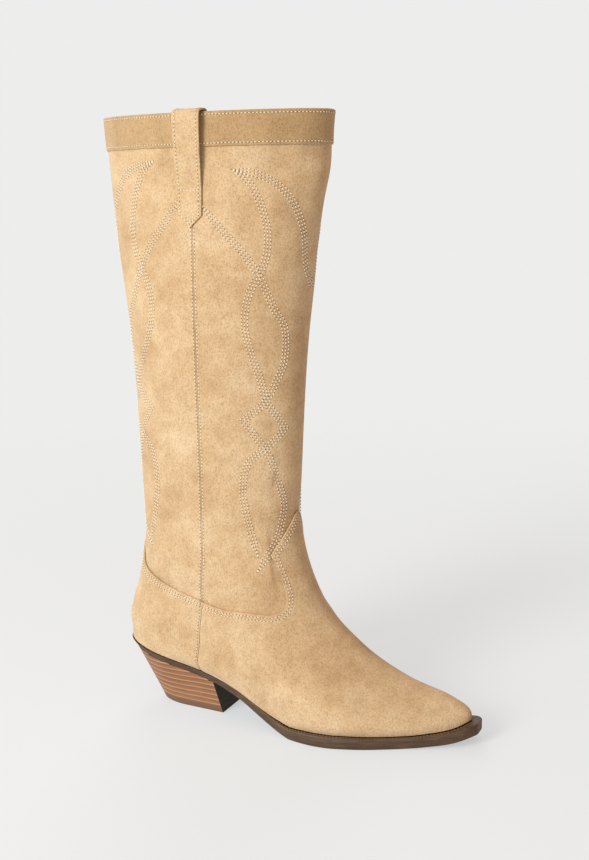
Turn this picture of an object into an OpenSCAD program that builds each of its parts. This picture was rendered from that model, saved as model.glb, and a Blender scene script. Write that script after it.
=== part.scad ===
// Western boot for the right foot: stacked heel, welted sole, stitched shaft with pull straps.
// +X points to the toe, +Y to the inner (medial) side, +Z up. The origin is on the floor.

/* [Upper] */
// Height of the collar above the floor
collar_height = 446; // [400:1:480]
// Thickness of the vamp and counter leather
foot_leather = 1.6; // [1.2:0.1:2.2]
// Thickness of the shaft leather
shaft_leather = 1.4; // [1.0:0.1:1.8]
// Thickness of the lining leather
lining_leather = 0.8; // [0.6:0.1:1.2]
// Height of the folded band around the collar
collar_band_height = 22; // [14:1:30]
// How far the shaft is set back where it slips inside the vamp and counter
tuck_inset = 6; // [5:0.5:7]

/* [Pull straps] */
// Width of a pull strap
strap_width = 20; // [14:1:26]
// Length of a pull strap down the outside, from the collar edge
strap_length = 76; // [60:1:90]
// Thickness of the strap leather
strap_leather = 1.6; // [1.2:0.1:2.2]
// Free length of the strap loop below the collar edge
strap_loop = 50; // [35:1:55]

/* [Sole] */
// Thickness of the outsole under the ball of the foot
outsole_t = 4.8; // [4:0.2:7]
// Thickness of the welt
welt_t = 3.6; // [3:0.2:5]
// How far the welt and outsole stand out round the toe
welt_ledge = 4.2; // [3:0.2:6]
// Thickness of the insole board
insole_t = 2.4; // [1.6:0.2:3.2]
// Thickness of the sock liner
sock_t = 1.2; // [0.8:0.1:2]

/* [Heel] */
// Distance from the back of the seat to the heel breast
heel_length = 81; // [76:1:86]
// How far the heel breast slopes forward on its way down
heel_lean = 3.5; // [0:0.5:6]
// How far the back of the heel slopes forward on its way down
heel_underslung = 24.5; // [15:0.5:30]
// Half width of the heel where it meets the floor
heel_foot_half = 18; // [16:0.5:24]
// Number of leather lifts above the top lift
lift_count = 9; // [7:1:10]
// Thickness of the rubber top lift on the floor
top_lift_t = 6; // [4:0.5:8]
// Radius of the heel screw
screw_r = 2; // [1.5:0.1:2.5]
// Radius of a heel nail
nail_r = 1; // [0.8:0.1:1.2]

/* [Hidden] */
// How far the origin, the middle of the boot's length, lies in front of the loops' zero
MID_X = 133.5;
// Stations along the foot, from the back (0) to the toe (1)
STATION = [0, .1, .25, .45, .68, .86, 1];
// Each row is one closed loop round the upper, from the sole line up to the collar:
// back x, back z, front x, front z, share of the sole's curve, share of its sway,
// then the half widths at the stations
LEVEL = [0, .04, .12, .22, .34, .46, .56, .67, .78, .90, 1];
LOOP = [
  [-3.5, 51.8, 271, 16.8, 1, 1, 56, 46, 29, 32, 40, 33, 26.5],
  [-3, 59, 270, 22.5, 1, 1, 58, 47, 36, 33, 43, 35, 27],
  [-4, 69, 256, 31, .8, 1, 57, 47, 37, 34, 41, 34, 26],
  [0, 85, 225, 40.5, .6, .9, 53, 45, 36, 34, 37, 32, 27],
  [6, 101, 188, 61, .4, .6, 48, 41, 35, 33, 35, 32, 29],
  [10, 123, 156, 96, .2, .3, 42, 38, 34, 33, 33, 34, 33],
  [13, 143, 141, 143, 0, 0, 40, 37, 34, 33, 34, 35, 36],
  [11, 208, 143, 208, 0, 0, 39, 37, 36, 36, 36, 37, 38],
  [8, 283, 149, 283, 0, 0, 41, 40, 40, 40, 40, 40, 41],
  [0, 363, 160, 363, 0, 0, 43, 42, 42, 42, 42, 42, 43],
  [-7, collar_height + .7, 172, collar_height + .6, 0, 0, 42, 42, 42, 42, 42, 42, 42]
];
// Underside of the outsole along the foot, and the height of the upper's edge above it
TREAD_AT = [0, .1, .25, .38, .50, .60, .68, .78, .90, .97, 1];
TREAD_Z = [44.8, 40.3, 30.3, 19.2, 4.2, -2, 0, 0, 1.7, 5, 8.4];
STACK_AT = [0, .3, .44, .56, 1];
STACK_Z = [7, 5.5, 7, outsole_t + welt_t, outsole_t + welt_t];
SWAY = [0, 0, .5, -1, -3, 1, 6];
// The upper's lower edge: its height at each station of the loops
SOLE_LINE = [for (s = STATION) sole_line(s)];
// Top edge of the counter and vamp with its back tab and tongue: angle round the boot, then level
EDGE_AT = [0, 10, 17, 24, 34, 60, 80, 100, 124, 134, 140, 144, 150, 160, 172, 180];
EDGE_LEVEL = [.57, .56, .50, .43, .405, .392, .401, .417, .428, .442, .47, .53, .553, .569, .586, .592];
// The level, at the same angles, up to which the vamp and counter cover the shaft
COVER_LEVEL = [.57, .56, .50, .43, .405, .392, .401, .417, .44, .475, .505, .535, .555, .569, .586, .592];
// The level, at the same angles, of the shaft's hidden lower edge
LOW_LEVEL = [.525, .515, .455, .385, .36, .347, .356, .372, .383, .395, .41, .44, .475, .51, .54, .547];
// Joint between vamp and counter: level, then angle
SEAM_AT = [0, .05, .17, .30, .40, .46];
SEAM_ANGLE = [61, 61.8, 66.3, 72.2, 79, 81];
SIDE_ANGLE = 92.5;      // where the front and back of the shaft meet
// How far the side seams swing back on their way down into that joint: level, then angle
SIDE_AT = [.40, .46, .52, .60, .68, .76, 1];
SIDE_TURN = [-13.5, -8.8, -4.8, -1.2, -.2, 0, 0];
GAP = 0.15;             // room left between layers that touch
CLEAR = .02;            // level above that edge where the shaft is still set back
RAMP = .08;             // level over which it then comes back out
WELT_FROM = .34;        // station where the welt starts on each side
THIN = 0.4;             // thinnest edge of a skived piece

// ---- smooth curves through design points ----
function span(xs, x, i = 0) = i >= len(xs) - 2 || x < xs[i + 1] ? i : span(xs, x, i + 1);
function rise(xs, ys, i) = (ys[i + 1] - ys[i]) / (xs[i + 1] - xs[i]);
function slope(xs, ys, i) =
  i == 0 ? rise(xs, ys, 0) :
  i == len(xs) - 1 ? rise(xs, ys, i - 1) :
  (rise(xs, ys, i - 1) * (xs[i + 1] - xs[i]) + rise(xs, ys, i) * (xs[i] - xs[i - 1]))
    / (xs[i + 1] - xs[i - 1]);
function curve(xs, ys, x) =
  let (i = span(xs, x), h = xs[i + 1] - xs[i], u = (x - xs[i]) / h)
  (2 * u * u * u - 3 * u * u + 1) * ys[i] + (u * u * u - 2 * u * u + u) * h * slope(xs, ys, i)
  + (3 * u * u - 2 * u * u * u) * ys[i + 1] + (u * u * u - u * u) * h * slope(xs, ys, i + 1);
function mix(a, b, k) = a + (b - a) * k;
function clamp(k) = min(1, max(0, k));
function ease(k) = let (c = clamp(k)) c * c * (3 - 2 * c);
function unit(v) = v / norm(v);
// Angle measured from the back of the boot, 0 to 180, the same on both sides
function fold(angle) = abs(angle) > 180 ? 360 - abs(angle) : abs(angle);

// ---- the boot's form ----
function tread(s) = max(0, curve(TREAD_AT, TREAD_Z, s));
function sole_line(s) = tread(s) + curve(STACK_AT, STACK_Z, s);
function station(angle) = (1 - cos(angle)) / 2;
// Point on the outside of the boot; angle 0 is the back, 180 the front, 0..180 the outer side
function on_boot(row, angle) =
  let (s = station(angle), half = [for (k = [6:12]) row[k]],
       line = SOLE_LINE[0] + (SOLE_LINE[6] - SOLE_LINE[0]) * s)
  [mix(row[0], row[2], s) - MID_X,
   row[5] * curve(STATION, SWAY, s) - curve(STATION, half, s) * sin(angle),
   mix(row[1], row[3], s) + row[4] * (sole_line(s) - line)];
function boot(level, angle) = on_boot(curve(LEVEL, LOOP, level), angle);
function normal(level, angle) =
  let (d = .004, a = 1.5, low = max(0, level - d), high = min(1, level + d))
  unit(cross(boot(level, angle + a) - boot(level, angle - a), boot(high, angle) - boot(low, angle)));
// Point at a distance out (+) or in (-) from the boot's outside
function skin(level, angle, out) = boot(level, angle) + out * normal(level, angle);
function foot_edge(angle) = curve(EDGE_AT, EDGE_LEVEL, fold(angle));
function seam_angle(level) = curve(SEAM_AT, SEAM_ANGLE, level);
// Angle of a column of shaft leather at a level
function swing(angle, level) =
  angle + sin(angle) * abs(sin(angle)) * curve(SIDE_AT, SIDE_TURN, max(level, SIDE_AT[0]));
function shaft_low(angle) = curve(EDGE_AT, LOW_LEVEL, fold(swing(angle, 0)));
// The shaft runs flush with the boot's form and is set back where the vamp and counter cover it
function shaft_out(level, angle) =
  -tuck_inset * (1 - ease((level - curve(EDGE_AT, COVER_LEVEL, fold(angle)) - CLEAR) / RAMP));

// ---- solids from rings of points ----
// Joins rings one after the other; ring point k pairs with point n-1-k at an open end
module loft(rings, closed = false) {
  n = len(rings[0]);
  m = len(rings);
  function id(i, k) = (i % m) * n + k % n;
  walls = [for (i = [0:m - (closed ? 1 : 2)], k = [0:n - 1])
    each [[id(i, k), id(i + 1, k), id(i + 1, k + 1)], [id(i, k), id(i + 1, k + 1), id(i, k + 1)]]];
  function cap(i) = [for (k = [0:n / 2 - 2])
    each [[id(i, k), id(i, k + 1), id(i, n - 2 - k)], [id(i, k), id(i, n - 2 - k), id(i, n - 1 - k)]]];
  function flip(f) = [for (t = f) [t[2], t[1], t[0]]];
  polyhedron([for (r = rings) each r],
    closed ? walls : concat(walls, cap(0), flip(cap(m - 1))));
}
// Ring across a leather sheet: up its inside from level low to high, and back down its outside.
// at(l) gives the angle and out(l) the outer face's distance from the boot's form
function sheet_ring(low, high, thick, rows, at, out) =
  let (levels = [for (i = [0:rows]) mix(low, high, i / rows)])
  concat([for (l = levels) skin(l, at(l), out(l) - thick)],
    [for (i = [rows:-1:0]) let (l = levels[i]) skin(l, at(l), out(l))]);
SOLE_LENGTH = LOOP[0][2] - LOOP[0][0];
SNIP_X = LOOP[0][2] - MID_X + 6.6;      // where the toe of the sole is cut off square
// Point of the sole's outline, moved out in plan
function outline(angle, out) =
  let (p = boot(0, angle), d = boot(0, angle + 1) - boot(0, angle - 1), q = unit([d[0], d[1]]))
  [min(SNIP_X, p[0] + q[1] * out), p[1] - q[0] * out];
// Ring across a plate under the foot, between two heights; its lower edge is drawn in
function plate_ring(angle, out, bottom, top, draw = 0) =
  let (a = outline(angle, out), b = outline(-angle, out),
       c = outline(angle, out - draw), d = outline(-angle, out - draw))
  [[c[0], c[1], bottom], [d[0], d[1], bottom], [b[0], b[1], top], [a[0], a[1], top]];

// ---- the sole ----
WELT_GAP_AT = [0, .3, .36, .44, .56, 1];
WELT_GAP = [.4, .4, .7, 2.2, welt_t, welt_t];
LEDGE_AT = [0, .3, .44, .56, .9, 1];
LEDGE = [1.2, .6, 1, welt_ledge, welt_ledge + .2, welt_ledge + 3.8];
LASTED = 1.7;           // room under the insole for the upper's turned-in edge
LASTED_T = 1.2;         // thickness of that edge
function welt_gap(s) = curve(WELT_GAP_AT, WELT_GAP, s);
function ledge(s) = curve(LEDGE_AT, LEDGE, s);
// How far the seat of the outsole is trimmed in, in line with the heel below it
function seat_trim(s) = 3.6 * (1 - ease(s / .28));
function outsole_top(s) = sole_line(s) - welt_gap(s);
function board_bottom(s) = sole_line(s) + LASTED;
function board_top(s) = board_bottom(s) + insole_t;
function angle_of(s) = acos(1 - 2 * s);

SOLE_STEP = 3;          // degrees between rings of the sole
module outsole() color([.36, .22, .13]) difference() {
  loft([for (a = [SOLE_STEP:SOLE_STEP:177], s = [station(a)])
    plate_ring(a, ledge(s), tread(s), outsole_top(s), seat_trim(s))]);
  fasteners();
}
module welt() color([.30, .18, .11])
  loft([for (a = [angle_of(WELT_FROM):SOLE_STEP:360 - angle_of(WELT_FROM)])
    let (s = station(a), p = outline(a, ledge(s)), q = outline(a, -2.2),
         low = outsole_top(s), high = sole_line(s) - GAP)
    [[q[0], q[1], low], [q[0], q[1], high], [p[0], p[1], high], [p[0], p[1], low]]]);
module insole_board() color([.62, .50, .36]) difference() {
  loft([for (a = [2 * SOLE_STEP:SOLE_STEP:171], s = [station(a)])
    plate_ring(a, -3.6, board_bottom(s), board_top(s))]);
  fasteners();
}
module insole_filler() color([.55, .42, .28])
  loft([for (a = [29 * SOLE_STEP:SOLE_STEP:162]) let (x = outline(a, -9)[0] + MID_X - LOOP[0][0])
    plate_ring(a, -9, outsole_top(station(a)) + GAP, board_bottom(x / SOLE_LENGTH) - GAP)]);
module sock_liner() color([.80, .68, .52])
  loft([for (a = [2 * SOLE_STEP:SOLE_STEP:171], s = [station(a)])
    plate_ring(a, -4.6, board_top(s) + GAP, board_top(s) + GAP + sock_t)]);
SHANK_WIDTH = 12;
module shank() color([.55, .56, .58])
  loft([for (i = [0:20]) let (s = mix(.21, .45, i / 20), x = boot(0, angle_of(s))[0],
      low = sole_line(s) + GAP, high = low + LASTED - 2 * GAP, w = SHANK_WIDTH / 2)
    [[x, -w, low], [x, w, low], [x, w, high], [x, -w, high]]]);

// ---- the heel ----
HEEL_TOP = TREAD_Z[0];
lift_t = (HEEL_TOP - top_lift_t) / lift_count;
HEEL_X = boot(0, 0)[0];
BREAST_ANGLE = angle_of(heel_length / SOLE_LENGTH);
HEEL_ROUND = .42;       // share of the heel's length taken by its rounded back
HEEL_TAPER = .24;       // share by which the heel's foot narrows towards its back
function heel_plan(u) =
  (1 - HEEL_TAPER * (1 - u)) * (u < HEEL_ROUND ? sqrt(1 - pow(1 - u / HEEL_ROUND, 2)) : 1);
// Point on the side of the heel in the column at an angle, at height z
function heel_side(a, z) =
  let (s = station(a), seat = outline(a, ledge(s) - seat_trim(s)), u = s / station(BREAST_ANGLE),
       foot_x = HEEL_X + mix(heel_underslung, heel_length + heel_lean, u),
       foot_y = -sign(a) * heel_foot_half * heel_plan(u), k = z / tread(s))
  [mix(foot_x, seat[0], k), mix(foot_y, seat[1], k), z];
function heel_roof(a) = tread(station(a)) - GAP;
module heel_slab(low, high) {
  angles = [for (i = [0:24]) let (a = mix(4, BREAST_ANGLE, i / 24)) if (heel_roof(a) > low + THIN) a];
  loft([for (a = angles) let (top = min(high, heel_roof(a)))
    [heel_side(a, low), heel_side(-a, low), heel_side(-a, top), heel_side(a, top)]]);
}
SCREW_X = 47 - MID_X;
SCREW_HEAD = [4, 1.6];  // radius and height
SCREW_TOP = board_bottom((SCREW_X - HEEL_X) / SOLE_LENGTH) - .3;
NAIL_LOW = 20;
NAIL_GRIP = .6;         // how far a nail's head goes into the insole board
NAILS = [for (p = [[28, 0], [34, 12], [34, -12], [60, 14], [60, -14]]) [p[0] - MID_X, p[1]]];
LIFT_NAILS = [for (p = [[36, 0], [42, 11], [42, -11], [66, 12], [66, -12]]) [p[0] - MID_X, p[1]]];
LIFT_NAIL_LOW = 1;
module screw() {
  translate([SCREW_X, 0, top_lift_t + 2]) cylinder(r = screw_r, h = SCREW_TOP - top_lift_t - 2, $fn = 32);
  translate([SCREW_X, 0, SCREW_TOP - SCREW_HEAD[1]]) cylinder(r = SCREW_HEAD[0], h = SCREW_HEAD[1], $fn = 32);
}
function nail_top(x) = board_bottom((x - HEEL_X) / SOLE_LENGTH) + NAIL_GRIP;
module nails() for (p = NAILS)
  translate([p[0], p[1], NAIL_LOW]) cylinder(r = nail_r, h = nail_top(p[0]) - NAIL_LOW, $fn = 24);
module lift_nails() for (p = LIFT_NAILS)
  translate([p[0], p[1], LIFT_NAIL_LOW]) cylinder(r = nail_r, h = top_lift_t + 5, $fn = 24);
// Everything driven into the heel, with the way in for the screw head
module fasteners() {
  screw();
  translate([SCREW_X, 0, SCREW_TOP - SCREW_HEAD[1]]) cylinder(r = SCREW_HEAD[0], h = 9, $fn = 32);
  nails();
  lift_nails();
}
module top_lift() color([.16, .10, .07]) difference() { heel_slab(0, top_lift_t - GAP); fasteners(); }
module heel_lift(i) color(i % 2 == 0 ? [.46, .27, .15] : [.52, .32, .18]) difference() {
  heel_slab(top_lift_t + (i - 1) * lift_t, top_lift_t + i * lift_t - .05);
  fasteners();
}
module heel_screw() color("silver") screw();
module heel_nails() color("silver") nails();
module top_lift_nails() color("goldenrod") lift_nails();

// ---- the foot of the upper ----
TAN = [.79, .67, .51];
LINING = [.84, .74, .60];
FOOT_OUT = .6;          // the vamp and counter stand this far outside the boot's form
function turned_in(s) = s > .8 ? mix(7, 3.2, (s - .8) / .2) : 7;
// Ring across the vamp or counter, with its edge turned in under the insole
function lasted_ring(high, rows, at) =
  let (a = at(0), s = station(a), q = outline(a, -turned_in(s)), z = sole_line(s),
       r = sheet_ring(.001, high, foot_leather, rows, at, function(l) FOOT_OUT),
       turn = skin(.02, at(.02), FOOT_OUT - foot_leather))
  concat([[q[0], q[1], z + LASTED_T], [turn[0], turn[1], z + LASTED_T]],
    [for (k = [1:len(r) - 1]) r[k]], [[q[0], q[1], z]]);
SEAM_TOP = .42;
SEAM_GAP = .15;         // degrees left at each side of a butted seam
module vamp() color(TAN)
  loft([for (i = [0:54]) let (u = i / 54,
      at = function(l) let (a = seam_angle(min(l, SEAM_TOP)) + SEAM_GAP) mix(a, 360 - a, u))
    lasted_ring(foot_edge(at(SEAM_TOP)), 9, at)]);
module counter() color(TAN * .97)
  loft([for (i = [0:40]) let (u = i / 40,
      at = function(l) let (a = seam_angle(min(l, SEAM_TOP)) - SEAM_GAP) mix(-a, a, u))
    lasted_ring(foot_edge(at(SEAM_TOP)), 9, at)]);
STIFF_OUT = FOOT_OUT - foot_leather - 2 * GAP;
STIFF_T = 1.2;
PUFF_T = .5;
PUFF_OUT = STIFF_OUT - .7;
module heel_stiffener() color([.70, .62, .50])
  loft([for (i = [0:20]) let (a = mix(-52, 52, i / 20))
    sheet_ring(.03, .26 - .1 * pow(a / 52, 2), STIFF_T, 4, function(l) a, function(l) STIFF_OUT)]);
module toe_puff() color([.70, .62, .50])
  loft([for (i = [0:20]) let (a = mix(132, 228, i / 20))
    sheet_ring(.03, .14 - .06 * pow((a - 180) / 48, 2), PUFF_T, 3, function(l) a, function(l) PUFF_OUT)]);
LINING_DROP = .13;      // level between the vamp's upper edge and the foot lining's upper edge
LINING_OUT = STIFF_OUT - STIFF_T - GAP;
module foot_lining() color(LINING)
  loft([for (a = [0:5:355])
    sheet_ring(.03, foot_edge(a) - LINING_DROP, lining_leather, 6, function(l) a, function(l) LINING_OUT)],
    closed = true);

// ---- the shaft ----
TAPE_ROOM = 1;
TAPE_T = .4;
SHAFT_ROWS = 10;
PANEL_STEPS = 44;
function panel_angles(from, to) = [for (i = [0:PANEL_STEPS]) mix(from, to, i / PANEL_STEPS)];
module panel(from, to) loft([for (a = panel_angles(from, to))
  sheet_ring(shaft_low(a), .9985, shaft_leather, SHAFT_ROWS, function(l) swing(a, l),
  function(l) shaft_out(l, swing(a, l)))]);
module front_panel() color(TAN) panel(SIDE_ANGLE + SEAM_GAP, 360 - SIDE_ANGLE - SEAM_GAP);
module back_panel() color(TAN) panel(-SIDE_ANGLE + SEAM_GAP, SIDE_ANGLE - SEAM_GAP);
module shaft_lining() color(LINING)
  loft([for (a = concat(panel_angles(-SIDE_ANGLE + SEAM_GAP, SIDE_ANGLE - SEAM_GAP),
      panel_angles(SIDE_ANGLE + SEAM_GAP, 360 - SIDE_ANGLE - SEAM_GAP)))
    sheet_ring(shaft_low(a), .9985, lining_leather, SHAFT_ROWS, function(l) swing(a, l),
      function(l) shaft_out(l, swing(a, l)) - shaft_leather - TAPE_ROOM)], closed = true);
BACK_ANGLES = panel_angles(-SIDE_ANGLE + SEAM_GAP, SIDE_ANGLE - SEAM_GAP);
FRONT_ANGLES = panel_angles(SIDE_ANGLE + SEAM_GAP, 360 - SIDE_ANGLE - SEAM_GAP);
TAPE_ANGLES = [BACK_ANGLES[PANEL_STEPS - 1], BACK_ANGLES[PANEL_STEPS], FRONT_ANGLES[0], FRONT_ANGLES[1]];
module side_tape(side) loft([for (i = [0:3]) let (a = side > 0 ? TAPE_ANGLES[i] : -TAPE_ANGLES[3 - i])
  sheet_ring(shaft_low(a), .9985, TAPE_T, SHAFT_ROWS, function(l) swing(a, l),
    function(l) shaft_out(l, swing(a, l)) - shaft_leather - (TAPE_ROOM - TAPE_T) / 2)]);
module side_tape_outer() color(LINING * .9) side_tape(1);
module side_tape_inner() color(LINING * .9) side_tape(-1);

BAND_T = 1.1;
BAND_OUT = GAP + BAND_T;
WALL = shaft_leather + TAPE_ROOM + lining_leather;
BAND_IN = -WALL - GAP - BAND_T;
// Level of the line a distance below the collar, within the topmost pair of loops
function collar_level(below) =
  1 - below / (collar_height - LOOP[9][1]) * (LEVEL[10] - LEVEL[9]);
COLLAR_HALF = (LOOP[10][2] - LOOP[10][0]) / 2;
module collar_band() color(TAN * 1.03)
  loft([for (a = [354:-6:0]) let (low = collar_level(collar_band_height),
      up = [0, 0, BAND_T], edge = .9995)
    [skin(low, a, GAP), skin(low, a, BAND_OUT), skin(edge, a, BAND_OUT), skin(edge, a, GAP - .3) + up,
     skin(edge, a, -WALL + .3) + up, skin(edge, a, BAND_IN), skin(low, a, BAND_IN),
     skin(low, a, BAND_IN + BAND_T), skin(edge, a, BAND_IN + BAND_T), skin(edge, a, GAP)]],
    closed = true);

STRAP_ANGLE = 91.5;
// The strap's route: distance below the collar, then out and up of its wall face, then of its open face
STRAP_OUT = BAND_OUT + GAP;
REST = GAP + .06;       // the sewn end's distance from the shaft
function strap_route() = let (t = strap_leather, far = STRAP_OUT + 2.2, back = BAND_IN - GAP, top = BAND_T)
  [[strap_length, REST, 0, REST + t, 0, .1], [strap_length - 6, REST, 0, REST + t, 0, .6],
   [strap_length - 12, REST, 0, REST + t, 0, 1], [strap_loop, REST, 0, REST + t, 0, 1],
   [strap_loop - 16, far - .8, 0, far + t - .8, 0, 1], [strap_loop / 3, far, 0, far + t, 0, 1],
   [2, far, 0, far + t, 0, 1], [0, far - .6, top - .2, far + t * .7, top - .2 + t * .7, 1],
   [0, -WALL / 2, top + .5, -WALL / 2, top + .5 + t, 1],
   [0, back - 1.4, top - .2, back - 2 - t * .7, top - .2 + t * .7, 1], [2, back - 2, 0, back - 2 - t, 0, 1],
   [strap_loop / 3, back - 2, 0, back - 2 - t, 0, 1], [strap_loop, -WALL - GAP, 0, -WALL - GAP - t, 0, 1],
   [strap_length - 12, -WALL - GAP, 0, -WALL - GAP - t, 0, 1],
   [strap_length, -WALL - GAP, 0, -WALL - GAP - t, 0, .3]];
module pull_strap(side) let (half = strap_width / 2 / COLLAR_HALF * 180 / PI)
  loft([for (r = strap_route()) let (l = collar_level(max(r[0], .05)), w = half * r[5],
      a0 = side * STRAP_ANGLE + w, a1 = side * STRAP_ANGLE - w, u0 = [0, 0, r[2]], u1 = [0, 0, r[4]])
    [skin(l, a0, r[1]) + u0, skin(l, a1, r[1]) + u0, skin(l, a1, r[3]) + u1, skin(l, a0, r[3]) + u1]]);
module pull_strap_outer() color(TAN * .98) pull_strap(1);
module pull_strap_inner() color(TAN * .98) pull_strap(-1);

outsole();
welt();
top_lift();
heel_screw();
heel_nails();
top_lift_nails();
for (i = [1:lift_count]) heel_lift(i);
insole_board();
insole_filler();
shank();
sock_liner();
toe_puff();
heel_stiffener();
vamp();
counter();
foot_lining();
front_panel();
back_panel();
shaft_lining();
side_tape_outer();
side_tape_inner();
collar_band();
pull_strap_outer();
pull_strap_inner();
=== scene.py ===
import math

import bmesh
import bpy
import numpy as np
from mathutils import Matrix, Vector


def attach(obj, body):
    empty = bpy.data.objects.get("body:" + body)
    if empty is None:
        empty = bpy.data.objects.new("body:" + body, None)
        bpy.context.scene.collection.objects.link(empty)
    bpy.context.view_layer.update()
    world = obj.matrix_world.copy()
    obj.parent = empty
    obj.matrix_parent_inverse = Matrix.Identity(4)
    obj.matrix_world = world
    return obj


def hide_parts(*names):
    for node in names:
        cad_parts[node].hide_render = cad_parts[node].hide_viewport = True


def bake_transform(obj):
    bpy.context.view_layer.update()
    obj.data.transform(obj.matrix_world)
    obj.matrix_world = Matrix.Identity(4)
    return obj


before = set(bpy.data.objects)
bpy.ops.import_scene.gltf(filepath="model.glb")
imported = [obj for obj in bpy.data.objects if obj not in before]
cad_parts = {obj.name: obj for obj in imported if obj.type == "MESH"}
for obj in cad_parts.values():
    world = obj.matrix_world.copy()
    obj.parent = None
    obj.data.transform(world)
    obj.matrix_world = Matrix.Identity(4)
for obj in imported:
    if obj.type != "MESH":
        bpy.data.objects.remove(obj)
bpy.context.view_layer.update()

# The boot's form is worked out in millimetres with the same sections as the CAD frame.
# Angle 0 is the back of the boot, 180 the front, and 0..180 runs round the outer (-Y) side.
# Level 0 is the line where the upper meets the sole, and level 1 the collar.
MM = 0.001
COLLAR = 446.0
MID_X = 133.5
STATION = [0, .1, .25, .45, .68, .86, 1]
LEVEL = [0, .04, .12, .22, .34, .46, .56, .67, .78, .90, 1]
# One row for each level: the back's x and z, the front's x and z, how much of the sole's wave and of its
# sway is felt there, then the half widths at each station
LOOP = [
    [-3.5, 51.8, 271, 16.8, 1, 1, 56, 46, 29, 32, 40, 33, 26.5],
    [-3, 59, 270, 22.5, 1, 1, 58, 47, 36, 33, 43, 35, 27],
    [-4, 69, 256, 31, .8, 1, 57, 47, 37, 34, 41, 34, 26],
    [0, 85, 225, 40.5, .6, .9, 53, 45, 36, 34, 37, 32, 27],
    [6, 101, 188, 61, .4, .6, 48, 41, 35, 33, 35, 32, 29],
    [10, 123, 156, 96, .2, .3, 42, 38, 34, 33, 33, 34, 33],
    [13, 143, 141, 143, 0, 0, 40, 37, 34, 33, 34, 35, 36],
    [11, 208, 143, 208, 0, 0, 39, 37, 36, 36, 36, 37, 38],
    [8, 283, 149, 283, 0, 0, 41, 40, 40, 40, 40, 40, 41],
    [0, 363, 160, 363, 0, 0, 43, 42, 42, 42, 42, 42, 43],
    [-7, COLLAR + .7, 172, COLLAR + .6, 0, 0, 42, 42, 42, 42, 42, 42, 42],
]
OUTSOLE_T, WELT_T, INSOLE_T, LASTING_T = 4.8, 3.6, 2.4, 1.7
TREAD_AT = [0, .1, .25, .38, .50, .60, .68, .78, .90, .97, 1]
TREAD_Z = [44.8, 40.3, 30.3, 19.2, 4.2, -2, 0, 0, 1.7, 5, 8.4]
STACK_AT = [0, .3, .44, .56, 1]
STACK_Z = [7, 5.5, 7, OUTSOLE_T + WELT_T, OUTSOLE_T + WELT_T]
SWAY = [0, 0, .5, -1, -3, 1, 6]
WELT_GAP_AT = [0, .3, .36, .44, .56, 1]
WELT_GAP = [.4, .4, .7, 2.2, WELT_T, WELT_T]
LEDGE_AT = [0, .3, .44, .56, .9, 1]
LEDGE = [1.2, .6, 1, 4.2, 4.4, 8]
SIDE_ANGLE = 92.5
SIDE_AT = [.40, .46, .52, .60, .68, .76, 1]
SIDE_TURN = [-13.5, -8.8, -4.8, -1.2, -.2, 0, 0]
FOOT_OUT, FOOT_LEATHER = .6, 1.6
SHAFT_LEATHER, TAPE_ROOM, TAPE_T, LINING_LEATHER = 1.4, 1.0, .3, .8
WALL = SHAFT_LEATHER + TAPE_ROOM + LINING_LEATHER
GAP = .15
BAND_HEIGHT, BAND_T = 22.0, 1.1
STRAP_ANGLE, STRAP_WIDTH, STRAP_T = 91.5, 20.0, 1.4
RNG = np.random.default_rng(7)


# ---------------------------------------------------------------- smooth curves and the boot's form
def hermite(u, w, y0, y1, m0, m1):
    """Cubic from y0 to y1 with slopes m0 and m1: u runs 0..1 over the width w."""
    return ((2 * u**3 - 3 * u**2 + 1) * y0 + (u**3 - 2 * u**2 + u) * w * m0
            + (3 * u**2 - 2 * u**3) * y1 + (u**3 - u**2) * w * m1)


def curve(xs, ys, x):
    """Cubic through the design points (xs, ys), at x. ys may hold rows of numbers."""
    xs, ys, x = np.asarray(xs, float), np.asarray(ys, float), np.asarray(x, float)
    row = (-1,) + (1,) * (ys.ndim - 1)
    h = np.diff(xs)
    d = np.diff(ys, axis=0) / h.reshape(row)
    m = np.concatenate([d[:1], (d[:-1] * h[1:].reshape(row) + d[1:] * h[:-1].reshape(row))
                        / (h[1:] + h[:-1]).reshape(row), d[-1:]])
    i = np.clip(np.searchsorted(xs, x, side="right") - 1, 0, len(xs) - 2)
    extra = (...,) + (None,) * (ys.ndim - 1)
    u, w = ((x - xs[i]) / h[i])[extra], h[i][extra]
    return hermite(u, w, ys[i], ys[i + 1], m[i], m[i + 1])


def unit(v):
    return v / np.linalg.norm(v, axis=-1, keepdims=True)


def mix(a, b, k):
    return a + (b - a) * k


def ease(k):
    c = np.clip(k, 0, 1)
    return c * c * (3 - 2 * c)


def fold(angle):
    """Angle from the back of the boot, 0..180, the same on both sides."""
    return np.abs(np.mod(np.asarray(angle, float) + 180, 360) - 180)


def station(angle):
    return (1 - np.cos(np.radians(angle))) / 2


def angle_of(s):
    return math.degrees(math.acos(1 - 2 * s))


def tread(s):
    return np.maximum(0, curve(TREAD_AT, TREAD_Z, s))


def sole_line(s):
    return tread(s) + curve(STACK_AT, STACK_Z, s)


def welt_gap(s):
    return curve(WELT_GAP_AT, WELT_GAP, s)


def ledge(s):
    return curve(LEDGE_AT, LEDGE, s)


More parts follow.
